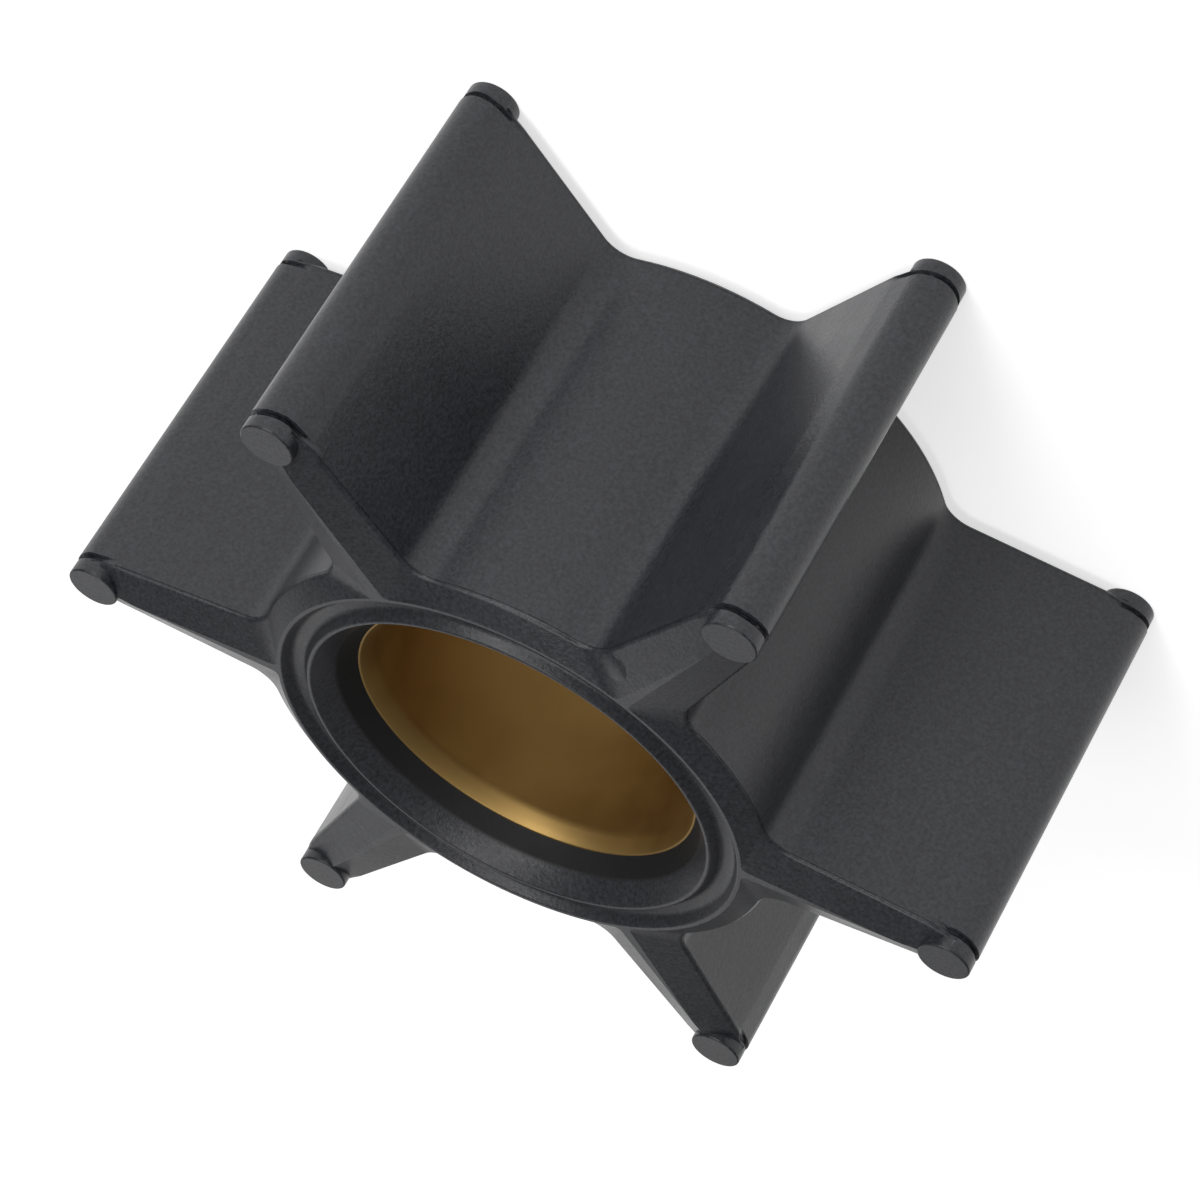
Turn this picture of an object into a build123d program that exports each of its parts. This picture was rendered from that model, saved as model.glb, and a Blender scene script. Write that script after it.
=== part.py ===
"""Rubber pump impeller: a six-vane moulded rubber wheel on a brass sleeve.

Millimetres. +Z runs along the shaft bore, toward the end that is shown. The origin is on
the bore's axis, in the plane of the end that the impeller stands on. One vane points
along +X.
"""

import os

from build123d import *

os.makedirs("parts", exist_ok=True)

# Overall size
outer_diameter = 50.6
width = 22.8
vane_count = 6

# Vanes: a tapered web that draws in to a round bead along the tip. The bead ends in a
# slightly slimmer cap, where the halves of the mould met. Half thicknesses.
bead_radius = 1.45
cap_radius = 1.4
cap_height = 0.9
web_half_root = 2.75
web_half_tip = 1.7
bead_draw_in = 2.5
root_fillet = 1.8

# Brass sleeve with a keyway for the shaft's key
bore_radius = 9.0
sleeve_wall = 2.0
sleeve_setback = 2.1
sleeve_lead_in_depth = 1.0
sleeve_lead_in_width = 0.4
key_width = 4.5
key_depth = 1.3
key_angle = 90.0

# Rubber of the hub round the sleeve, and the slope that runs round each end of the wheel,
# over the hub and the vanes. It leaves a crest along each vane. The tool that cuts it
# starts and ends clear of the rubber by this share of its height.
hub_wall = 3.2
slope_height = 0.72
slope_width = 1.2
crest_half_root = 0.45
crest_half_tip = 0.05
crest_fillet = 0.8
slope_margin = 0.25

# Groove between two thin lips in each end of the hub
lip_width = 0.3
groove_width = 1.3
groove_floor_width = 0.6
groove_depth = 0.6

# Mouth of the rubber, from the inner lip down to a narrow ledge on the sleeve
lead_in_depth = 0.45
throat_taper = 0.5
ledge_width = 0.1

# Values that follow from the ones above
outer_radius = outer_diameter / 2
sleeve_radius = bore_radius + sleeve_wall
hub_radius = sleeve_radius + hub_wall
bead_centre_radius = outer_radius - bead_radius
web_start_radius = hub_radius - web_half_root
web_end_radius = outer_radius - bead_draw_in
ring_radius = hub_radius - slope_width
groove_outer_radius = ring_radius - lip_width
groove_inner_radius = groove_outer_radius - groove_width
groove_middle_radius = (groove_inner_radius + groove_outer_radius) / 2
mouth_radius = groove_inner_radius - lip_width
sleeve_mouth_radius = bore_radius + sleeve_lead_in_width
throat_foot_radius = sleeve_mouth_radius + ledge_width
throat_radius = throat_foot_radius + throat_taper
clear_radius = outer_radius + 4 * bead_radius
vane_step = 360 / vane_count
end_planes = ((0, 1), (width, -1))


def vane(tip_radius):
    """One vane's cross-section: the tapered web, drawn in to a round tip."""
    with BuildSketch() as outline:
        Polygon(
            (web_start_radius, web_half_root),
            (web_end_radius, web_half_tip),
            (web_end_radius, -web_half_tip),
            (web_start_radius, -web_half_root),
            align=None,
        )
        with Locations((bead_centre_radius, 0)):
            Circle(tip_radius)
        make_hull()
    return outline.sketch


def section(height, tip_radius):
    """The wheel's cross-section at a height: the hub with its vanes blended in."""
    with BuildSketch(Plane.XY.offset(height)) as wheel:
        Circle(hub_radius)
        with PolarLocations(0, vane_count):
            add(vane(tip_radius))
        roots = [v for v in wheel.vertices() if Vector(v.X, v.Y).length < web_end_radius - root_fillet]
        fillet(roots, root_fillet)
    return wheel.sketch


def pocket(share):
    """One gap between two vanes, widened from the webs to the crests by a share."""
    with BuildSketch(Plane.XY.offset(width - slope_height * (1 - share))) as gap:
        with BuildLine() as side:
            Line(
                (web_start_radius, web_half_root + (crest_half_root - web_half_root) * share),
                (web_end_radius, web_half_tip + (crest_half_tip - web_half_tip) * share),
            )
        start = side.line @ 0
        end = start + (side.line % 0) * (clear_radius - start.X)
        far_end = Vector(end.X, -end.Y).rotate(Axis.Z, vane_step)
        far_start = Vector(start.X, -start.Y).rotate(Axis.Z, vane_step)
        Polygon(
            (start.X, start.Y),
            (end.X, end.Y),
            (far_end.X, far_end.Y),
            (far_start.X, far_start.Y),
            align=None,
        )
        Circle(hub_radius - slope_width * share, mode=Mode.SUBTRACT)
        corners = [v for v in gap.vertices() if Vector(v.X, v.Y).length < bead_centre_radius]
        fillet(corners, root_fillet + (crest_fillet - root_fillet) * share)
    return gap.sketch


with BuildPart() as pocket_tool:
    add(pocket(-slope_margin))
    add(pocket(1 + slope_margin))
    loft(ruled=True)

with BuildPart() as low_pocket_tool:
    add(pocket_tool.part)
    mirror(about=Plane.XY.offset(width / 2), mode=Mode.REPLACE)

with BuildPart() as rubber_body:
    # Vanes and hub, full length, with the tips slimmer at both ends
    add(section(cap_height, bead_radius))
    extrude(amount=width - 2 * cap_height)
    add(section(0, cap_radius))
    extrude(amount=cap_height)
    add(section(width - cap_height, cap_radius))
    extrude(amount=cap_height)

    # The slope over both ends leaves a crest along the middle of each vane
    with PolarLocations(0, vane_count):
        add(pocket_tool.part, mode=Mode.SUBTRACT)
        add(low_pocket_tool.part, mode=Mode.SUBTRACT)

    # The caps of the beads stand full height
    for height in (0, width - cap_height):
        with BuildSketch(Plane.XY.offset(height)):
            with PolarLocations(bead_centre_radius, vane_count):
                Circle(cap_radius)
        extrude(amount=cap_height)

    # Groove between the two lips of each end
    for end, inward in end_planes:
        floor = end + inward * groove_depth
        with BuildSketch(Plane.XZ):
            with BuildLine():
                Polyline(
                    (groove_inner_radius, end),
                    (groove_middle_radius - groove_floor_width / 2, floor),
                    (groove_middle_radius + groove_floor_width / 2, floor),
                    (groove_outer_radius, end),
                    close=True,
                )
            make_face()
        revolve(axis=Axis.Z, mode=Mode.SUBTRACT)

    # Room for the sleeve, open at both ends through a lead-in and a tapered throat
    with BuildSketch(Plane.XZ):
        with BuildLine():
            Polyline(
                (0, 0),
                (mouth_radius, 0),
                (throat_radius, lead_in_depth),
                (throat_foot_radius, sleeve_setback),
                (sleeve_radius, sleeve_setback),
                (sleeve_radius, width - sleeve_setback),
                (throat_foot_radius, width - sleeve_setback),
                (throat_radius, width - lead_in_depth),
                (mouth_radius, width),
                (0, width),
                close=True,
            )
        make_face()
    revolve(axis=Axis.Z, mode=Mode.SUBTRACT)

with BuildPart() as brass_sleeve:
    with BuildSketch(Plane.XZ):
        with BuildLine():
            Polyline(
                (sleeve_mouth_radius, sleeve_setback),
                (sleeve_radius, sleeve_setback),
                (sleeve_radius, width - sleeve_setback),
                (sleeve_mouth_radius, width - sleeve_setback),
                (bore_radius, width - sleeve_setback - sleeve_lead_in_depth),
                (bore_radius, sleeve_setback + sleeve_lead_in_depth),
                close=True,
            )
        make_face()
    revolve(axis=Axis.Z)

    # Keyway along the whole sleeve, midway between two vanes
    with BuildSketch(Plane.XY.offset(sleeve_setback)):
        with PolarLocations(bore_radius, 1, start_angle=key_angle):
            Rectangle(2 * key_depth, key_width)
    extrude(amount=width - 2 * sleeve_setback, mode=Mode.SUBTRACT)

rubber_body.part.label = "rubber_body"
brass_sleeve.part.label = "brass_sleeve"

export_step(rubber_body.part, "parts/rubber_body.step")
export_step(brass_sleeve.part, "parts/brass_sleeve.step")
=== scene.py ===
"""Rubber pump impeller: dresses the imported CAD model.

The frame is in metres, +Z along the shaft bore. Sizes in this file are metres too, and
angles are radians, unless a comment or a docstring says otherwise.
"""

import math

import bmesh
import bpy
from bpy.props import FloatProperty, FloatVectorProperty, IntProperty, PointerProperty
from mathutils import Matrix, Quaternion, Vector, noise


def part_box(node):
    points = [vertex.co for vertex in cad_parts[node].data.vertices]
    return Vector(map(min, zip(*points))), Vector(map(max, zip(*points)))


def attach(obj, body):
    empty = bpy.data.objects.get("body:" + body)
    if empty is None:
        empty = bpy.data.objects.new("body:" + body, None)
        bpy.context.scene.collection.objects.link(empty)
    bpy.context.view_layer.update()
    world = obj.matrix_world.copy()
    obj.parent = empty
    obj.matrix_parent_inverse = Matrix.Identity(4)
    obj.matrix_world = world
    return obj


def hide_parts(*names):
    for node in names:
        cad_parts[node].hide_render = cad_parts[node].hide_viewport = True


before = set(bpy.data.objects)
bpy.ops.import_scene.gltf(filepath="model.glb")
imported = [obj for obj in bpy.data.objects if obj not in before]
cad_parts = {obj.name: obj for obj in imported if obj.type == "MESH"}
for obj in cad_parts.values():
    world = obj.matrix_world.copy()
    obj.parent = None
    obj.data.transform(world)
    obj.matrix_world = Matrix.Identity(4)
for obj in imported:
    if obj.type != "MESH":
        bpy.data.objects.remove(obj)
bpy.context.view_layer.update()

bl_info = {
    "name": "Pump impeller",
    "version": (1, 0, 0),
    "blender": (4, 5, 0),
    "location": "3D View > Sidebar > Impeller",
    "description": "Moulded rubber pump wheel on a brass sleeve, with its stage",
    "category": "Object",
}

MM = 0.001
MERGE = 0.001 * MM
UP = Vector((0, 0, 1))
RUBBER_LOW, RUBBER_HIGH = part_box("rubber_body")
WIDTH = RUBBER_HIGH.z - RUBBER_LOW.z
MIDDLE = (RUBBER_HIGH.z + RUBBER_LOW.z) / 2
TIP_REACH = (RUBBER_HIGH.x - RUBBER_LOW.x) / 2

# The wheel is built round its middle and then lifted, so this is the height of its end
TOP = WIDTH / 2

# Edges sharper than so many degrees stay sharp in the shading
SHARP_ANGLE = 50


def linear(hex_colour):
    """An sRGB hex colour such as 2F3033, as the linear RGBA that Blender's sockets take."""
    parts = [int(hex_colour[i : i + 2], 16) / 255 for i in (0, 2, 4)]
    return [p / 12.92 if p <= 0.04045 else ((p + 0.055) / 1.055) ** 2.4 for p in parts] + [1.0]


def per_mm(size):
    """The scale that makes a pattern repeat about once in so many millimetres."""
    return 1 / (size * MM)


def direction(azimuth, elevation=0.0):
    """The unit vector at an angle round the bore and an angle above the floor."""
    return Vector((
        math.cos(azimuth) * math.cos(elevation),
        math.sin(azimuth) * math.cos(elevation),
        math.sin(elevation),
    ))


class WheelSizes(bpy.types.PropertyGroup):
    """Sizes of the moulded rubber wheel"""

    vanes: IntProperty(name="Vanes", description="Vanes round the hub", default=6, min=3, max=12)
    hub_radius: FloatProperty(
        name="Hub radius", description="Outside of the hub between two vanes",
        default=14.2 * MM, unit="LENGTH", subtype="DISTANCE", precision=5,
    )
    web_half_root: FloatProperty(
        name="Web at the root",
        description="Half the thickness of a vane where it leaves the hub",
        default=2.75 * MM, unit="LENGTH", subtype="DISTANCE", precision=5,
    )
    web_half_tip: FloatProperty(
        name="Web at the tip", description="Half the thickness of a vane next to its bead",
        default=1.7 * MM, unit="LENGTH", subtype="DISTANCE", precision=5,
    )
    root_fillet: FloatProperty(
        name="Root fillet", description="Radius between the hub and a vane",
        default=1.8 * MM, unit="LENGTH", subtype="DISTANCE", precision=5,
    )
    bead_radius: FloatProperty(
        name="Bead radius", description="Radius of the round bead along a vane's tip",
        default=1.45 * MM, unit="LENGTH", subtype="DISTANCE", precision=5,
    )
    cap_radius: FloatProperty(
        name="Cap radius", description="Radius of the bead past the mould's parting line",
        default=1.4 * MM, unit="LENGTH", subtype="DISTANCE", precision=5,
    )
    cap_height: FloatProperty(
        name="Cap height",
        description="From the parting line beside a bead to the end of the wheel",
        default=1.02 * MM, unit="LENGTH", subtype="DISTANCE", precision=5,
    )
    slope_height: FloatProperty(
        name="Slope height", description="Height of the slope round each end",
        default=0.72 * MM, unit="LENGTH", subtype="DISTANCE", precision=5,
    )
    slope_width: FloatProperty(
        name="Slope width", description="Width of the slope on the hub between two vanes",
        default=1.2 * MM, unit="LENGTH", subtype="DISTANCE", precision=5,
    )
    shoulder_round: FloatProperty(
        name="Shoulder rounding", description="How far the slope's outer edge is rounded off",
        default=0.18 * MM, unit="LENGTH", subtype="DISTANCE", precision=5,
    )
    notch_depth: FloatProperty(
        name="Parting notch", description="Depth of the nick that the mould left round a bead",
        default=0.2 * MM, unit="LENGTH", subtype="DISTANCE", precision=5,
    )


class Finishes(bpy.types.PropertyGroup):
    """Colours of the impeller's two materials"""

    rubber: FloatVectorProperty(
        name="Rubber", description="Colour of the moulded rubber, linear",
        default=linear("2D2E32")[:3], size=3, min=0, max=1, subtype="COLOR",
    )
    brass: FloatVectorProperty(
        name="Brass", description="Colour of the turned brass sleeve, linear",
        default=linear("AE8F58")[:3], size=3, min=0, max=1, subtype="COLOR",
    )


# ---------------------------------------------------------------- mesh helpers


def chain_arc(bm, start, centre, angle, steps):
    """Turns a vertex round a centre and leaves edges behind it. Returns the new vertices."""
    before = len(bm.verts)
    bmesh.ops.spin(bm, geom=[start], cent=centre, axis=UP, angle=angle, steps=steps)
    return list(bm.verts)[before:]


def chain_line(bm, start, end, steps=1):
    """Draws a vertex out to a point in equal steps. Returns the new vertices."""
    made = []
    step = (end - start.co) / steps
    for _ in range(steps):
        start = bmesh.ops.extrude_vert_indiv(bm, verts=[start])["verts"][0]
        bmesh.ops.translate(bm, vec=step, verts=[start])
        made.append(start)
    return made


def edges_along(verts):
    """The edges between neighbours in a row of vertices."""
    pairs = zip(verts, verts[1:])
    return [next(e for e in a.link_edges if e.other_vert(a) is b) for a, b in pairs]


def join(bm, verts):
    """Joins two vertices by an edge and returns it."""
    return bmesh.ops.contextual_create(bm, geom=verts)["edges"][0]


def bridge(bm, lower, upper):
    """Walls between two rows of vertices."""
    bmesh.ops.bridge_loops(bm, edges=edges_along(lower) + edges_along(upper))


def everything(bm):
    """All that a bmesh holds, as bmesh's operators take it."""
    return bm.verts[:] + bm.edges[:] + bm.faces[:]


def circle(bm, radius, height):
    """The edges of a circle round the bore, at both ends of the wheel."""
    return [
        e for e in bm.edges
        if all(abs(v.co.xy.length - radius) < 2 * MERGE for v in e.verts)
        and all(abs(abs(v.co.z) - height) < 2 * MERGE for v in e.verts)
    ]


def round_edges(bm, edges, offset, segments):
    """Rounds edges off by an offset."""
    bmesh.ops.bevel(
        bm, geom=edges, offset=offset, offset_type="OFFSET", segments=segments, profile=0.5,
        affect="EDGES", clamp_overlap=False, material=-1, loop_slide=True,
    )


def shade(bm, keen=()):
    """Smooth shading that stops at sharp edges, and at keen ones whatever their angle."""
    for face in bm.faces:
        face.smooth = True
    for edge in bm.edges:
        edge.smooth = edge.calc_face_angle(0) < math.radians(SHARP_ANGLE)
    for edge in keen:
        edge.smooth = False


def new_piece(bm, name, material):
    """Turns a bmesh into a piece of the model, in the frame's one body."""
    mesh = bpy.data.meshes.new(name)
    bm.to_mesh(mesh)
    bm.free()
    mesh.materials.append(material)
    piece = bpy.data.objects.new(name, mesh)
    bpy.context.scene.collection.objects.link(piece)
    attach(piece, "root")
    return piece


def weigh_normals(piece):
    """Lets the large faces lead the shading, so that flats stay flat beside rounded edges."""
    weighted = piece.modifiers.new("Weighted normals", "WEIGHTED_NORMAL")
    weighted.keep_sharp = True


# ---------------------------------------------------------------- materials

# Rubber: sizes of its patterns in millimetres. The real grain is finer than the render can
# show, so it is drawn this coarse.
PATCH_SIZE, RIPPLE_SIZE, GRAIN_SIZE = 4, 1.1, 0.2
# How dark and how pale the grain turns the colour, and how much it counts beside the patches
GRAIN_DARK, GRAIN_PALE, GRAIN_SHARE = 0.25, 1.88, 0.75
# Roughness where the skin is shiniest and where it is dullest
RUBBER_GLOSS = (0.27, 0.36)
RUBBER_IOR = 1.46
SWELL_DEPTH, GRAIN_DEPTH = 0.05 * MM, 0.03 * MM
# The throat's colour, a painted shade for its dark recess, how much rougher it is, and how
# far inside and outside its radius the painted shade fades out
THROAT_SHADE_COLOUR = "0C0C0D"
THROAT_DULLING = 0.4
THROAT_INSIDE, THROAT_OUTSIDE = 0.1 * MM, 0.05 * MM

# Brass: sizes of its patterns in millimetres. The tool's rings are drawn coarser than they
# are, to show, and stretched this much round the bore.
RING_SIZE, TARNISH_SIZE = 0.3, 4
RING_STRETCH = 0.06
TARNISH_DARK, TARNISH_PALE = 0.8, 1.08
BRASS_GLOSS = (0.46, 0.58)
RING_DEPTH = 0.01 * MM

# Nearly all of a noise pattern lies between these two values, and most of the grain between
# the second pair
NOISE_LOW, NOISE_HIGH = 0.3, 0.7
GRAIN_LOW, GRAIN_HIGH = 0.33, 0.67


def add(tree, kind, inputs=None, **settings):
    """Adds a node. Its inputs are values, or the outputs that feed them."""
    made = tree.nodes.new(kind)
    for name, value in settings.items():
        setattr(made, name, value)
    for key, value in (inputs or {}).items():
        if isinstance(value, bpy.types.NodeSocket):
            tree.links.new(value, made.inputs[key])
        else:
            made.inputs[key].default_value = value
    return made


def new_material(name):
    """An empty material with an output, and its node tree."""
    material = bpy.data.materials.new(name)
    material.use_nodes = True
    tree = material.node_tree
    tree.nodes.clear()
    return material, tree, add(tree, "ShaderNodeOutputMaterial")


def moulded_rubber(colour):
    """Nitrile rubber, pressed in a lapped steel mould.

    Charcoal with a satin skin: a soft sheen under a fine grain that is lighter and darker
    from spot to spot, and patches that took the mould's polish better. The throat inside
    the hub's mouths is painted near black, as shade in that recess, and is duller.
    """
    material, tree, out = new_material("Moulded nitrile rubber")
    place = add(tree, "ShaderNodeTexCoord").outputs["Object"]
    patches = add(
        tree, "ShaderNodeTexNoise",
        {"Vector": place, "Scale": per_mm(PATCH_SIZE), "Detail": 4.0, "Roughness": 0.6},
    )
    grain = add(
        tree, "ShaderNodeTexNoise",
        {"Vector": place, "Scale": per_mm(GRAIN_SIZE), "Detail": 4.0, "Roughness": 0.7},
    )
    ripple = add(
        tree, "ShaderNodeTexNoise",
        {"Vector": place, "Scale": per_mm(RIPPLE_SIZE), "Detail": 2.0},
    )
    speckle = add(
        tree, "ShaderNodeMapRange",
        {"Value": grain.outputs["Fac"], "From Min": GRAIN_LOW, "From Max": GRAIN_HIGH},
    )
    mottle = add(
        tree, "ShaderNodeMix",
        {"Factor": GRAIN_SHARE, "A": patches.outputs["Fac"], "B": speckle.outputs["Result"]},
    )
    dark = [c * GRAIN_DARK for c in colour] + [1.0]
    pale = [c * GRAIN_PALE for c in colour] + [1.0]
    tone = add(
        tree, "ShaderNodeMix", {"Factor": mottle.outputs["Result"], "A": dark, "B": pale},
        data_type="RGBA",
    )

    # The throat, where shade is painted, told from the rest by its distance from the bore's axis
    split = add(tree, "ShaderNodeSeparateXYZ", {"Vector": place})
    flat = add(
        tree, "ShaderNodeCombineXYZ", {"X": split.outputs["X"], "Y": split.outputs["Y"]}
    )
    radius = add(tree, "ShaderNodeVectorMath", {0: flat.outputs["Vector"]}, operation="LENGTH")
    throat = add(
        tree, "ShaderNodeMapRange",
        {"Value": radius.outputs["Value"], "From Min": THROAT_RADIUS - THROAT_INSIDE,
         "From Max": THROAT_RADIUS + THROAT_OUTSIDE, "To Min": 1.0, "To Max": 0.0},
    )
    # Painted shade: inside the mouth the rubber's colour gives way to the throat's near black
    skin = add(
        tree, "ShaderNodeMix",
        {"Factor": throat.outputs["Result"], "A": tone.outputs["Result"],
         "B": linear(THROAT_SHADE_COLOUR)},
        data_type="RGBA",
    )

    gloss = add(
        tree, "ShaderNodeMapRange",
        {"Value": patches.outputs["Fac"], "From Min": NOISE_LOW, "From Max": NOISE_HIGH,
         "To Min": RUBBER_GLOSS[0], "To Max": RUBBER_GLOSS[1]},
    )
    gloss = add(
        tree, "ShaderNodeMath",
        {0: throat.outputs["Result"], 1: THROAT_DULLING, 2: gloss.outputs["Result"]},
        operation="MULTIPLY_ADD",
    )
    swell = add(
        tree, "ShaderNodeBump",
        {"Height": ripple.outputs["Fac"], "Strength": 0.25, "Distance": SWELL_DEPTH},
    )
    relief = add(
        tree, "ShaderNodeBump",
        {"Height": grain.outputs["Fac"], "Strength": 0.7, "Distance": GRAIN_DEPTH,
         "Normal": swell.outputs["Normal"]},
    )
    shader = add(
        tree, "ShaderNodeBsdfPrincipled",
        {"Base Color": skin.outputs["Result"], "Roughness": gloss.outputs["Value"],
         "IOR": RUBBER_IOR, "Normal": relief.outputs["Normal"]},
    )
    tree.links.new(shader.outputs["BSDF"], out.inputs["Surface"])
    return material


def turned_brass(colour):
    """Leaded brass tube, turned and reamed.

    Deep bronze-gold: fine rings left by the tool run round the bore, and the metal has
    dulled unevenly since.
    """
    material, tree, out = new_material("Turned brass")
    place = add(tree, "ShaderNodeTexCoord").outputs["Object"]
    squeeze = add(
        tree, "ShaderNodeMapping",
        {"Vector": place, "Scale": (RING_STRETCH, RING_STRETCH, 1.0)},
    )
    rings = add(
        tree, "ShaderNodeTexNoise",
        {"Vector": squeeze.outputs["Vector"], "Scale": per_mm(RING_SIZE), "Detail": 3.0},
    )
    tarnish = add(
        tree, "ShaderNodeTexNoise",
        {"Vector": place, "Scale": per_mm(TARNISH_SIZE), "Detail": 4.0},
    )
    dark = [c * TARNISH_DARK for c in colour] + [1.0]
    pale = [min(1.0, c * TARNISH_PALE) for c in colour] + [1.0]
    tone = add(
        tree, "ShaderNodeMix", {"Factor": tarnish.outputs["Fac"], "A": dark, "B": pale},
        data_type="RGBA",
    )
    gloss = add(
        tree, "ShaderNodeMapRange",
        {"Value": tarnish.outputs["Fac"], "From Min": NOISE_LOW, "From Max": NOISE_HIGH,
         "To Min": BRASS_GLOSS[0], "To Max": BRASS_GLOSS[1]},
    )
    relief = add(
        tree, "ShaderNodeBump",
        {"Height": rings.outputs["Fac"], "Strength": 0.2, "Distance": RING_DEPTH},
    )
    shader = add(
        tree, "ShaderNodeBsdfPrincipled",
        {"Base Color": tone.outputs["Result"], "Metallic": 1.0,
         "Roughness": gloss.outputs["Result"], "Normal": relief.outputs["Normal"]},
    )
    tree.links.new(shader.outputs["BSDF"], out.inputs["Surface"])
    return material


# ---------------------------------------------------------------- rubber wheel

# Kinds of edge: each is taken out, rounded or kept keen later. A new edge has kind 0.
HELPER, SHOULDER, CAP_RIM, CREST = range(1, 5)

# Steps along each stretch of the wheel's outline, round a cap and round the bore
HUB_STEPS, FILLET_STEPS, WEB_STEPS, DRAW_STEPS = 9, 8, 10, 5
TIP_STEPS, HEEL_STEPS, RING_STEPS = 26, 16, 15
# Where in a row of vertices the web ends, and where the bead begins
WEB_INDEX = HUB_STEPS + FILLET_STEPS + WEB_STEPS
TOUCH_INDEX = WEB_INDEX + DRAW_STEPS

# The web ends this far inside the tip, and draws in to the bead from there
BEAD_DRAW_IN = 2.5 * MM

# Crest along a vane, and the ridge that falls from its end to the cap
CREST_HALF_ROOT = 0.36 * MM
CREST_FILLET = 0.4 * MM
RIDGE_RUN = 1.05 * MM
RIDGE_DROP = 0.08 * MM

# Nick round a bead: two floors with a thin ridge between them, in five levels of the wall.
# It rises toward the tip. The floors lie at these shares of its half width.
NOTCH_HALF_WIDTH = 0.17 * MM
NOTCH_RISE = 0.12 * MM
LOWER_FLOOR, UPPER_FLOOR = 0.6, 0.5
NOTCH_LEVELS = range(1, 6)
NOTCH_INSIDE = range(2, 5)
NOTCH_RIDGE = 3

# How the nick is torn: lengths of its coarse and fine waves in millimetres, and how far each
# shifts it along the bead and in or out. The ridge is sunk a little more.
TEAR_COARSE, TEAR_FINE = 0.9, 0.22
TEAR_START = Vector((3, 1, 7))
TEAR_RISE = (0.04 * MM, 0.03 * MM)
TEAR_DEPTH = (0.08 * MM, 0.09 * MM)
RIDGE_SINK = 0.06 * MM

# Lips and groove in each end, and the way in to the sleeve
OUTER_LIP_WIDTH = 0.23 * MM
INNER_LIP_WIDTH = 0.2 * MM
GROOVE_WIDTH = 1.47 * MM
GROOVE_FLANK = 0.35 * MM
GROOVE_DEPTH = 0.6 * MM
LEAD_IN_DEPTH = 1.05 * MM
THROAT_RADIUS = 10.27 * MM
THROAT_FOOT_RADIUS = 9.5 * MM
SLEEVE_SETBACK = 2.1 * MM
SLEEVE_RADIUS = 11.0 * MM

# Roundings
SHOULDER_SEGMENTS = 4
ROUND_SEGMENTS = 3
CAP_ROUND = 0.1 * MM
LIP_ROUND = 0.07 * MM
GROOVE_ROUND = 0.2 * MM


def outline(bm, sizes, height, hub, half_root, end, fillet):
    """Half an outline of the wheel: from midway between two vanes, along the hub, through
    the fillet and out along a vane's side to its end. Returns the row of vertices."""
    start = Vector((sizes.hub_radius - sizes.web_half_root, half_root, 0))
    along = (end - start).normalized()
    out = Vector((-along.y, along.x, 0))
    beside = start + out * fillet
    reach = beside.dot(along)
    centre = beside + along * (
        math.sqrt(reach**2 - beside.length_squared + (hub + fillet) ** 2) - reach
    )
    half_step = math.pi / sizes.vanes
    turn = half_step - math.atan2(centre.y, centre.x)
    lift = UP * height
    row = bmesh.ops.create_vert(bm, co=direction(half_step) * hub + lift)["vert"]
    row += chain_arc(bm, row[-1], lift, -turn, HUB_STEPS)
    row += chain_arc(bm, row[-1], centre + lift, (-centre).angle(-out), FILLET_STEPS)
    row += chain_line(bm, row[-1], end + lift, WEB_STEPS)
    return row


def touch_angle(centre, point, radius):
    """Where the line from a point to a circle touches it, as an angle round the centre."""
    away = point - centre
    return math.atan2(away.y, away.x) - math.acos(radius / away.length)


def ring_radii(sizes):
    """Radii of the hub's ends: the slope's upper edge, the groove's two sides, the mouth."""
    ring = sizes.hub_radius - sizes.slope_width
    groove_out = ring - OUTER_LIP_WIDTH
    groove_in = groove_out - GROOVE_WIDTH
    return ring, groove_out, groove_in, groove_in - INNER_LIP_WIDTH


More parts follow.
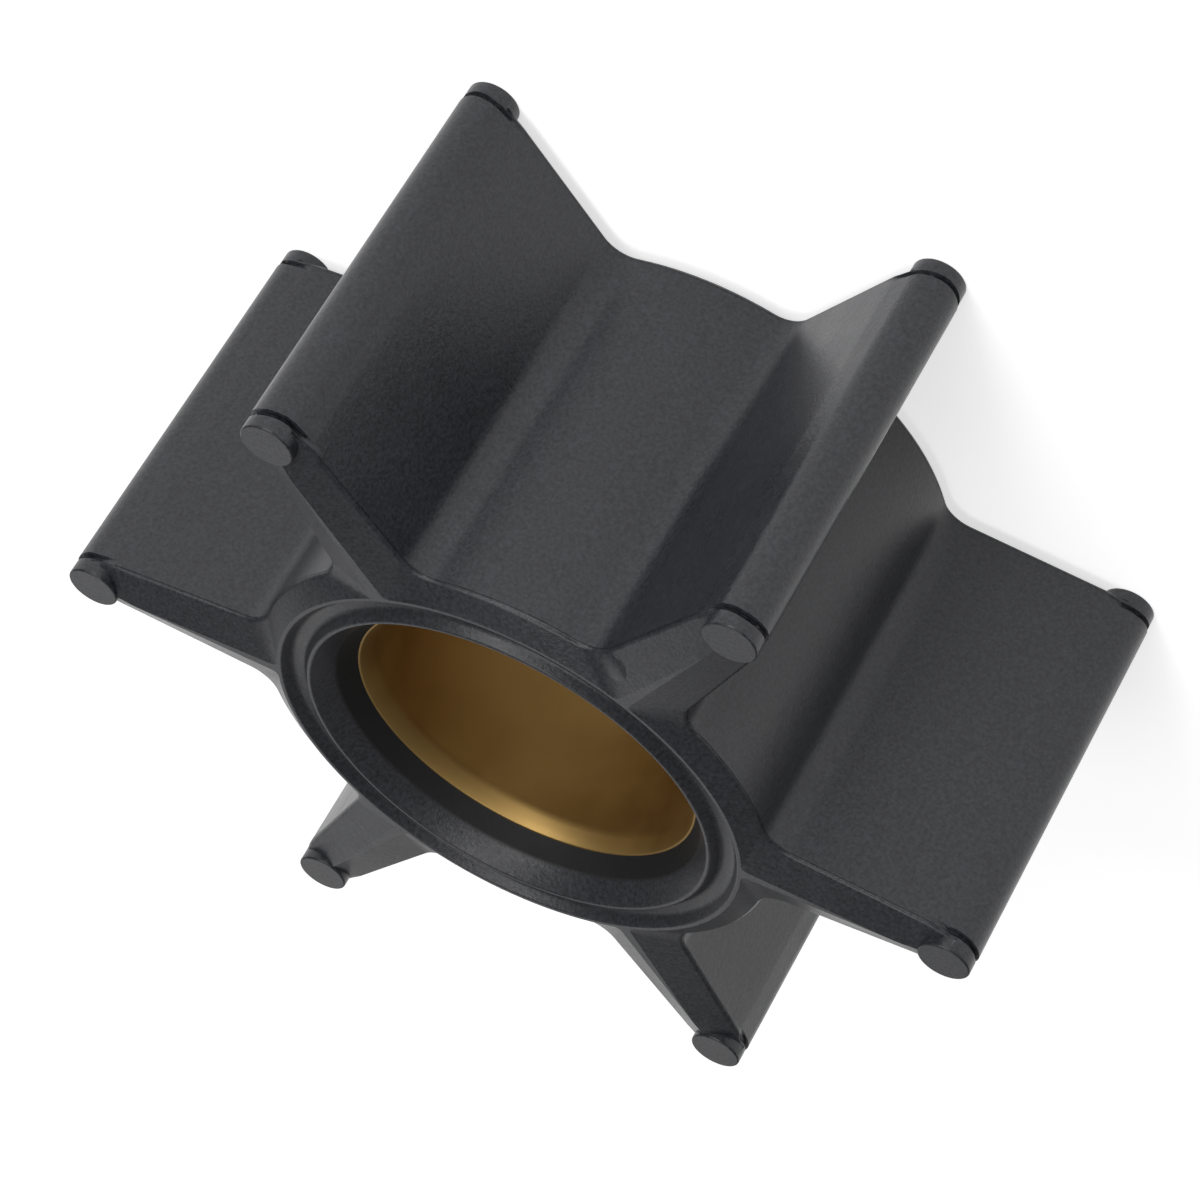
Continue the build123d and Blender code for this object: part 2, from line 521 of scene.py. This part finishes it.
class IMPELLER_OT_rubber_wheel(bpy.types.Operator):
    """Rubber wheel: hub, vanes with beads, slopes, lips and groove, as one moulding"""

    bl_idname = "impeller.rubber_wheel"
    bl_label = "Rubber wheel"
    bl_options = {"REGISTER", "UNDO"}

    def execute(self, context):
        sizes = context.scene.impeller_wheel
        bm = bmesh.new()
        kind = bm.edges.layers.int.new("kind")
        level = bm.verts.layers.int.new("level")
        crest = self.half_vane(bm, sizes, kind, level)
        self.inside(bm, sizes, crest)
        self.repeat(bm, sizes, kind)
        self.rounding(bm, sizes, kind)
        self.tear_notch(bm, sizes, level)
        bmesh.ops.translate(bm, vec=UP * MIDDLE, verts=bm.verts)
        bmesh.ops.recalc_face_normals(bm, faces=bm.faces)
        loose = [e for e in bm.edges if len(e.link_faces) != 2]
        if loose:
            raise RuntimeError(f"the wheel isn't closed: {len(loose)} loose edges")
        shade(bm, [e for e in bm.edges if e[kind] == CREST])
        rubber = moulded_rubber(context.scene.impeller_finish.rubber)
        wheel = new_piece(bm, "rubber_wheel", rubber)
        weigh_normals(wheel)
        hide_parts("rubber_body")
        return {"FINISHED"}

    def half_vane(self, bm, sizes, kind, level):
        """The upper half of one side of a vane, with the hub as far as midway to the next.
        Returns the row of vertices along the slope's upper edge."""
        foot_height = TOP - sizes.slope_height
        parting = TOP - sizes.cap_height
        bead = Vector((TIP_REACH - sizes.bead_radius, 0, 0))
        web_start = sizes.hub_radius - sizes.web_half_root
        web_end = Vector((TIP_REACH - BEAD_DRAW_IN, sizes.web_half_tip, 0))
        ridge_start = Vector((bead.x - sizes.cap_radius - RIDGE_RUN, 0, 0))

        def slope_at(point):
            """Height of the slope at a point beside the cap."""
            share = (point.x - web_start) / (web_end.x - web_start)
            half = sizes.web_half_root + (sizes.web_half_tip - sizes.web_half_root) * share
            crest = TOP - RIDGE_DROP * (point.x - ridge_start.x) / RIDGE_RUN
            return foot_height + (crest - foot_height) * (half - point.y) / half

        # Wall: the outline at each level, bridged from the wheel's middle up to the slope
        nick = sizes.cap_radius - sizes.notch_depth
        levels = (
            (0, sizes.bead_radius),
            (parting - NOTCH_HALF_WIDTH, sizes.bead_radius),
            (parting - NOTCH_HALF_WIDTH * LOWER_FLOOR, nick),
            (parting, sizes.cap_radius),
            (parting + NOTCH_HALF_WIDTH * UPPER_FLOOR, nick),
            (parting + NOTCH_HALF_WIDTH, sizes.cap_radius),
            (foot_height, sizes.cap_radius),
        )
        rows = []
        for number, (height, radius) in enumerate(levels):
            row = outline(
                bm, sizes, height, sizes.hub_radius, sizes.web_half_root, web_end,
                sizes.root_fillet,
            )
            angle = touch_angle(bead, web_end, radius)
            touch = bead + direction(angle) * radius
            row += chain_line(bm, row[-1], touch + UP * height, DRAW_STEPS)
            row += chain_arc(bm, row[-1], bead + UP * height, -angle, TIP_STEPS)
            rows.append(row)
            if number in NOTCH_LEVELS:
                for vert in row[WEB_INDEX + 1 :]:
                    vert[level] = number
                for step, vert in enumerate(row[-TIP_STEPS:], 1):
                    share = step / TIP_STEPS
                    vert.co.z += NOTCH_RISE * share * share * (3 - 2 * share)
        foot = rows[-1]
        for vert in foot[WEB_INDEX : TOUCH_INDEX + 1]:
            vert.co.z = slope_at(vert.co)
        for vert in foot[TOUCH_INDEX + 1 :]:
            vert.co.z = foot[TOUCH_INDEX].co.z
        for lower, upper in zip(rows, rows[1:]):
            bridge(bm, lower, upper)
        for edge in edges_along(foot[: TOUCH_INDEX + 1]):
            edge[kind] = SHOULDER

        # Slope up to the crest, which ends in a ridge that falls to the cap
        ring = ring_radii(sizes)[0]
        crest = outline(bm, sizes, TOP, ring, CREST_HALF_ROOT, ridge_start, CREST_FILLET)
        bridge(bm, foot[: WEB_INDEX + 1], crest)
        ridge = crest[-1:] + chain_line(
            bm, crest[-1], Vector((bead.x - sizes.cap_radius, 0, TOP - RIDGE_DROP))
        )
        for edge in edges_along(crest) + edges_along(ridge):
            edge[kind] = CREST

        # Cap: its wall stands on the bead outside, and on the slope inside
        angle = touch_angle(bead, web_end, sizes.cap_radius)
        heel = foot[TOUCH_INDEX : TOUCH_INDEX + 1]
        heel += chain_arc(
            bm, heel[0], Vector((bead.x, 0, heel[0].co.z)), math.pi - angle, HEEL_STEPS
        )
        for vert in heel[1:]:
            vert.co.z = slope_at(vert.co)
        heel[-1].co = ridge[-1].co
        bmesh.ops.pointmerge(bm, verts=[heel[-1], ridge[-1]], merge_co=ridge[-1].co)
        heel[-1] = ridge[-1] = next(v for v in (heel[-1], ridge[-1]) if v.is_valid)
        bmesh.ops.contextual_create(
            bm, geom=edges_along(foot[WEB_INDEX : TOUCH_INDEX + 1]) + edges_along(heel)
            + edges_along(ridge) + edges_along([foot[WEB_INDEX], crest[-1]]),
        )
        rim = bmesh.ops.create_vert(bm, co=bead + Vector((sizes.cap_radius, 0, TOP)))["vert"]
        rim += chain_arc(bm, rim[-1], bead + UP * TOP, angle, TIP_STEPS)
        rim += chain_arc(bm, rim[-1], bead + UP * TOP, math.pi - angle, HEEL_STEPS)
        bridge(bm, foot[: TOUCH_INDEX - 1 : -1] + heel[1:], rim)
        for edge in edges_along(rim):
            edge[kind] = CAP_RIM
        middle_line = join(bm, [rim[0], rim[-1]])
        middle_line[kind] = HELPER
        bmesh.ops.contextual_create(bm, geom=edges_along(rim) + [middle_line])
        return crest

    def inside(self, bm, sizes, crest):
        """Lip, groove, lip, lead-in, throat and the room for the sleeve, turned round the
        bore and joined to the slope's upper edge."""
        _, groove_out, groove_in, mouth = ring_radii(sizes)
        setback = TOP - SLEEVE_SETBACK
        profile = (
            (groove_out - GROOVE_FLANK, TOP - GROOVE_DEPTH),
            (groove_in + GROOVE_FLANK, TOP - GROOVE_DEPTH),
            (groove_in, TOP),
            (mouth, TOP),
            (THROAT_RADIUS, TOP - LEAD_IN_DEPTH),
            (THROAT_FOOT_RADIUS, setback),
            (SLEEVE_RADIUS, setback),
            (SLEEVE_RADIUS, 0),
        )
        section = bmesh.ops.create_vert(bm, co=(groove_out, 0, TOP))["vert"]
        for radius, height in profile:
            section += chain_line(bm, section[-1], Vector((radius, 0, height)))
        before = len(bm.verts)
        bmesh.ops.spin(
            bm, geom=section + edges_along(section), cent=(0, 0, 0), axis=UP,
            angle=math.pi / sizes.vanes, steps=RING_STEPS,
        )
        lip = section[:1] + [
            v for v in list(bm.verts)[before:]
            if abs(v.co.z - TOP) < MERGE and abs(v.co.xy.length - groove_out) < MERGE
        ]
        across = [join(bm, [lip[-1], crest[0]]), join(bm, [crest[-1], lip[0]])]
        bmesh.ops.contextual_create(bm, geom=edges_along(lip) + edges_along(crest) + across)

    def repeat(self, bm, sizes, kind):
        """Mirrors and turns the half vane to the whole wheel."""
        vane_step = 2 * math.pi / sizes.vanes
        bmesh.ops.mirror(bm, geom=everything(bm), axis="Y", merge_dist=MERGE)
        bmesh.ops.spin(
            bm, geom=everything(bm), cent=(0, 0, 0), axis=UP, angle=2 * math.pi - vane_step,
            steps=sizes.vanes - 1, use_duplicate=True,
        )
        bmesh.ops.mirror(bm, geom=everything(bm), axis="Z", merge_dist=MERGE)
        bmesh.ops.remove_doubles(bm, verts=bm.verts, dist=3 * MERGE)
        helpers = [e for e in bm.edges if e[kind] == HELPER]
        bmesh.ops.dissolve_edges(bm, edges=helpers, use_verts=False)
        bmesh.ops.recalc_face_normals(bm, faces=bm.faces)

    def rounding(self, bm, sizes, kind):
        """Rounds the shoulders, the caps' rims, the lips and the groove's floor."""
        shoulders = [e for e in bm.edges if e[kind] == SHOULDER]
        round_edges(bm, shoulders, sizes.shoulder_round, SHOULDER_SEGMENTS)
        rims = [e for e in bm.edges if e[kind] == CAP_RIM]
        round_edges(bm, rims, CAP_ROUND, ROUND_SEGMENTS)
        _, groove_out, groove_in, mouth = ring_radii(sizes)
        lips = circle(bm, groove_out, TOP) + circle(bm, groove_in, TOP) + circle(bm, mouth, TOP)
        round_edges(bm, lips, LIP_ROUND, ROUND_SEGMENTS)
        floor = circle(bm, groove_out - GROOVE_FLANK, TOP - GROOVE_DEPTH)
        floor += circle(bm, groove_in + GROOVE_FLANK, TOP - GROOVE_DEPTH)
        round_edges(bm, floor, GROOVE_ROUND, ROUND_SEGMENTS)

    def tear_notch(self, bm, sizes, level):
        """Tears the nick round the beads: it wanders a little, and its depth comes and goes."""
        vane_step = 2 * math.pi / sizes.vanes
        for vert in bm.verts:
            if vert[level] not in NOTCH_LEVELS:
                continue
            coarse = noise.noise(vert.co * per_mm(TEAR_COARSE))
            fine = noise.noise(vert.co * per_mm(TEAR_FINE) + TEAR_START)
            rise = TEAR_RISE[0] * coarse + TEAR_RISE[1] * fine
            vert.co.z += math.copysign(rise, vert.co.z)
            if vert[level] in NOTCH_INSIDE:
                spoke = round(math.atan2(vert.co.y, vert.co.x) / vane_step) * vane_step
                outward = vert.co - direction(spoke) * (TIP_REACH - sizes.bead_radius)
                outward.z = 0
                depth = TEAR_DEPTH[0] * coarse + TEAR_DEPTH[1] * fine
                if vert[level] == NOTCH_RIDGE:
                    depth -= RIDGE_SINK
                vert.co += outward.normalized() * depth


# ---------------------------------------------------------------- mould marks

# Gate scar: its place on the upper slope in degrees and metres, and the disc that stands
# for it, which is partly sunk in the rubber
GATE_TURN, GATE_REACH = 66.6, 14.7 * MM
GATE_RADIUS = 0.8 * MM
GATE_HEIGHT = 0.3 * MM
GATE_SUNK = 0.25 * MM
GATE_ROUND = 0.05 * MM
GATE_SEGMENTS = 40

# Thread of flash along the slope's outer edge: where it starts and how far it runs in
# degrees, its thickness, and how far short of a point it stops at its ends
FLASH_START, FLASH_RUN = 36.5, 12.5
FLASH_RADIUS = 0.06 * MM
FLASH_LIFT = 0.03 * MM
FLASH_END = 0.06
FLASH_STEPS = 28
FLASH_SEGMENTS = 8

# The search for the slope's outer edge: from here outward in steps, until the surface lies
# this far below the wheel's end
SEARCH_START = 13.5 * MM
SEARCH_STEP = 0.02 * MM
SEARCH_DROP = 1.0 * MM

# Segments of the smallest roundings
FINE_SEGMENTS = 2


def drop_on(wheel, place):
    """Where a line down through a place meets the wheel: whether, where, and its normal."""
    hit, spot, normal, _ = wheel.ray_cast(Vector((place.x, place.y, 2 * WIDTH)), -UP)
    return hit, spot, normal


def shoulder_at(wheel, turn):
    """The slope's outer edge at an angle round the bore, seen from above."""
    reach, spot = SEARCH_START, None
    while True:
        hit, here, _ = drop_on(wheel, direction(turn) * reach)
        if not hit or here.z < RUBBER_HIGH.z - SEARCH_DROP:
            return spot
        spot = here
        reach += SEARCH_STEP


class IMPELLER_OT_mould_marks(bpy.types.Operator):
    """Mould marks on the upper slope: the gate's round scar and a thread of flash"""

    bl_idname = "impeller.mould_marks"
    bl_label = "Mould marks"
    bl_options = {"REGISTER", "UNDO"}

    def execute(self, context):
        context.view_layer.update()
        wheel = bpy.data.objects["rubber_wheel"]
        self.gate_scar(wheel)
        self.flash_thread(wheel)
        return {"FINISHED"}

    def gate_scar(self, wheel):
        """A low disc, square to the slope."""
        hit, spot, normal = drop_on(wheel, direction(math.radians(GATE_TURN)) * GATE_REACH)
        if not hit:
            raise RuntimeError("nothing of the wheel lies below the gate's scar")
        bm = bmesh.new()
        bmesh.ops.create_circle(bm, cap_ends=True, radius=GATE_RADIUS, segments=GATE_SEGMENTS)
        made = bmesh.ops.extrude_face_region(bm, geom=bm.faces[:])["geom"]
        upper = [g for g in made if isinstance(g, bmesh.types.BMVert)]
        bmesh.ops.translate(bm, vec=UP * GATE_HEIGHT, verts=upper)
        bmesh.ops.recalc_face_normals(bm, faces=bm.faces)
        rim = [e for e in bm.edges if all(v.co.z > GATE_HEIGHT / 2 for v in e.verts)]
        round_edges(bm, rim, GATE_ROUND, FINE_SEGMENTS)
        tilt = UP.rotation_difference(normal).to_matrix().to_4x4()
        place = Matrix.Translation(spot - normal * GATE_SUNK)
        bmesh.ops.transform(bm, matrix=place @ tilt, verts=bm.verts)
        shade(bm)
        new_piece(bm, "gate_scar", wheel.data.materials[0])

    def flash_thread(self, wheel):
        """Rings along the slope's outer edge, bridged and closed at both ends."""
        bm = bmesh.new()
        rows = []
        for step in range(FLASH_STEPS + 1):
            share = step / FLASH_STEPS
            turn = math.radians(FLASH_START + FLASH_RUN * share)
            spot = shoulder_at(wheel, turn)
            if spot is None:
                raise RuntimeError("the flash lies off the wheel")
            taper = math.sqrt(math.sin(math.pi * (FLASH_END + (1 - 2 * FLASH_END) * share)))
            ring = bmesh.ops.create_circle(
                bm, radius=FLASH_RADIUS * taper, segments=FLASH_SEGMENTS
            )["verts"]
            bmesh.ops.rotate(bm, matrix=Matrix.Rotation(math.pi / 2, 3, "X"), verts=ring)
            bmesh.ops.rotate(bm, matrix=Matrix.Rotation(turn, 3, "Z"), verts=ring)
            bmesh.ops.translate(bm, vec=spot + UP * FLASH_LIFT, verts=ring)
            rows.append(ring)
        for lower, upper in zip(rows, rows[1:]):
            loops = [e for e in bm.edges if e.verts[0] in lower and e.verts[1] in lower]
            loops += [e for e in bm.edges if e.verts[0] in upper and e.verts[1] in upper]
            bmesh.ops.bridge_loops(bm, edges=loops)
        bmesh.ops.holes_fill(bm, edges=[e for e in bm.edges if e.is_boundary])
        bmesh.ops.recalc_face_normals(bm, faces=bm.faces)
        shade(bm)
        new_piece(bm, "flash_thread", wheel.data.materials[0])


# ---------------------------------------------------------------- brass sleeve

BORE_RADIUS = 9.0 * MM
# The CAD's bore is faceted, so its points lie this near to the true circle
BORE_TOLERANCE = 0.02 * MM
MOUTH_ROUND = 0.25 * MM
MOUTH_SEGMENTS = 4
EDGE_BREAK = 0.05 * MM
# In degrees: faces flatter than this are joined, and edges keener than this are broken
FLAT_ANGLE = 0.5
EDGE_ANGLE = 20


class IMPELLER_OT_brass_sleeve(bpy.types.Operator):
    """Brass sleeve: a merged copy of the CAD node, its edges broken, in turned brass"""

    bl_idname = "impeller.brass_sleeve"
    bl_label = "Brass sleeve"
    bl_options = {"REGISTER", "UNDO"}

    def execute(self, context):
        bm = bmesh.new()
        bm.from_mesh(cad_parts["brass_sleeve"].data)
        bmesh.ops.remove_doubles(bm, verts=bm.verts, dist=MERGE)
        bmesh.ops.dissolve_limit(
            bm, angle_limit=math.radians(FLAT_ANGLE), verts=bm.verts, edges=bm.edges
        )
        mouths = [
            e for e in bm.edges
            if all(abs(v.co.xy.length - BORE_RADIUS) < BORE_TOLERANCE for v in e.verts)
            and abs(e.verts[0].co.z - e.verts[1].co.z) < MERGE
        ]
        round_edges(bm, mouths, MOUTH_ROUND, MOUTH_SEGMENTS)
        sharp = [e for e in bm.edges if e.calc_face_angle(0) > math.radians(EDGE_ANGLE)]
        round_edges(bm, sharp, EDGE_BREAK, FINE_SEGMENTS)
        shade(bm)
        brass = turned_brass(context.scene.impeller_finish.brass)
        sleeve = new_piece(bm, "sleeve", brass)
        weigh_normals(sleeve)
        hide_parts("brass_sleeve")
        return {"FINISHED"}


# ---------------------------------------------------------------- stage

FLOOR_RADIUS = 2.0
FLOOR_SEGMENTS = 96
FLOOR_COLOUR = "E8E8E8"
# What the floor adds where it is seen, so that it is white behind the wheel
FLOOR_GLOW = 0.65
STUDIO_LEVEL = 0.2

# Soft boxes stand this far from the wheel. For each: name, azimuth and elevation in
# degrees, size in metres, watts.
BOX_DISTANCE = 0.5
SOFT_BOXES = (
    ("Key soft box", 112, 36, 0.2, 0.66),
    ("Top soft box", 90, 66, 0.2, 0.5),
    ("Low soft box", 97, 7, 0.2, 0.55),
    ("Back soft box", 238, 14, 0.4, 0.16),
    ("High back soft box", 252, 34, 0.4, 0.2),
)

# Camera, matched to the photograph. Angles in degrees, sensor and lens in millimetres.
CAMERA_AIM = Vector((-0.3675, -0.0884, 11.746)) * MM
CAMERA_AZIMUTH, CAMERA_ELEVATION, CAMERA_ROLL = 73.697, 28.197, -149.04
CAMERA_DISTANCE = 215.647 * MM
CAMERA_SENSOR, CAMERA_LENS = 36, 126.879
CAMERA_CLIP = (0.01, 10)


def white_card():
    """Matt white card: it takes the wheel's shadow, and glows where a camera or a
    reflection sees it."""
    material, tree, out = new_material("White card")
    path = add(tree, "ShaderNodeLightPath")
    seen = add(
        tree, "ShaderNodeMath",
        {0: path.outputs["Is Camera Ray"], 1: path.outputs["Is Glossy Ray"]},
        operation="MAXIMUM",
    )
    seen = add(
        tree, "ShaderNodeMath",
        {0: seen.outputs[0], 1: path.outputs["Is Transmission Ray"]}, operation="MAXIMUM",
    )
    card = add(tree, "ShaderNodeBsdfDiffuse", {"Color": linear(FLOOR_COLOUR)})
    glow = add(
        tree, "ShaderNodeEmission", {"Color": linear("FFFFFF"), "Strength": FLOOR_GLOW}
    )
    both = add(tree, "ShaderNodeAddShader", {0: card.outputs[0], 1: glow.outputs[0]})
    mix = add(
        tree, "ShaderNodeMixShader",
        {0: seen.outputs[0], 1: card.outputs[0], 2: both.outputs[0]},
    )
    tree.links.new(mix.outputs[0], out.inputs["Surface"])
    return material


def lay_floor(scene):
    """A round floor that the wheel stands on."""
    bm = bmesh.new()
    bmesh.ops.create_circle(bm, cap_ends=True, radius=FLOOR_RADIUS, segments=FLOOR_SEGMENTS)
    mesh = bpy.data.meshes.new("floor")
    bm.to_mesh(mesh)
    bm.free()
    mesh.materials.append(white_card())
    floor = bpy.data.objects.new("floor", mesh)
    scene.collection.objects.link(floor)


def light_studio(scene):
    """An even, weak light from all sides."""
    world = bpy.data.worlds.new("Studio")
    scene.world = world
    world.use_nodes = True
    tree = world.node_tree
    tree.nodes.clear()
    sky = add(
        tree, "ShaderNodeBackground", {"Color": linear("FFFFFF"), "Strength": STUDIO_LEVEL}
    )
    out = add(tree, "ShaderNodeOutputWorld")
    tree.links.new(sky.outputs[0], out.inputs["Surface"])


def set_camera(scene):
    """The camera, where the photographer's was."""
    data = bpy.data.cameras.new("Camera")
    data.sensor_width = CAMERA_SENSOR
    data.lens = CAMERA_LENS
    data.clip_start, data.clip_end = CAMERA_CLIP
    camera = bpy.data.objects.new("Camera", data)
    scene.collection.objects.link(camera)
    back = direction(math.radians(CAMERA_AZIMUTH), math.radians(CAMERA_ELEVATION))
    roll = Quaternion((0, 0, 1), math.radians(CAMERA_ROLL))
    camera.location = CAMERA_AIM + back * CAMERA_DISTANCE
    camera.rotation_mode = "QUATERNION"
    camera.rotation_quaternion = (-back).to_track_quat("-Z", "Y") @ roll
    scene.camera = camera


def soft_box(scene, name, azimuth, elevation, size, watts):
    """A square soft box that faces the wheel, in a direction given in degrees."""
    aim = UP * MIDDLE
    place = aim + direction(math.radians(azimuth), math.radians(elevation)) * BOX_DISTANCE
    data = bpy.data.lights.new(name, "AREA")
    data.shape = "SQUARE"
    data.size = size
    data.energy = watts
    light = bpy.data.objects.new(name, data)
    scene.collection.objects.link(light)
    light.location = place
    light.rotation_euler = (aim - place).to_track_quat("-Z", "Y").to_euler()


class IMPELLER_OT_stage(bpy.types.Operator):
    """Stage: pale floor, studio light, soft boxes and the camera"""

    bl_idname = "impeller.stage"
    bl_label = "Stage"
    bl_options = {"REGISTER", "UNDO"}

    def execute(self, context):
        scene = context.scene
        scene.view_settings.view_transform = "Standard"
        lay_floor(scene)
        light_studio(scene)
        set_camera(scene)
        for box in SOFT_BOXES:
            soft_box(scene, *box)
        return {"FINISHED"}


# ---------------------------------------------------------------- panel and registration


class IMPELLER_PT_panel(bpy.types.Panel):
    """Sizes, finishes and pieces of the impeller"""

    bl_idname = "IMPELLER_PT_panel"
    bl_label = "Pump impeller"
    bl_space_type = "VIEW_3D"
    bl_region_type = "UI"
    bl_category = "Impeller"

    def draw(self, context):
        layout = self.layout
        for group in (context.scene.impeller_wheel, context.scene.impeller_finish):
            box = layout.box()
            for name in group.bl_rna.properties.keys():
                if name not in {"rna_type", "name"}:
                    box.prop(group, name)
        for piece in PIECES:
            layout.operator(piece.bl_idname)


PIECES = (
    IMPELLER_OT_rubber_wheel, IMPELLER_OT_mould_marks, IMPELLER_OT_brass_sleeve,
    IMPELLER_OT_stage,
)
CLASSES = (WheelSizes, Finishes) + PIECES + (IMPELLER_PT_panel,)


def register():
    for cls in CLASSES:
        bpy.utils.register_class(cls)
    bpy.types.Scene.impeller_wheel = PointerProperty(type=WheelSizes)
    bpy.types.Scene.impeller_finish = PointerProperty(type=Finishes)


def unregister():
    del bpy.types.Scene.impeller_finish
    del bpy.types.Scene.impeller_wheel
    for cls in reversed(CLASSES):
        bpy.utils.unregister_class(cls)


def main():
    register()
    bpy.ops.impeller.rubber_wheel()
    bpy.ops.impeller.mould_marks()
    bpy.ops.impeller.brass_sleeve()
    bpy.ops.impeller.stage()


if __name__ == "__main__":
    main()
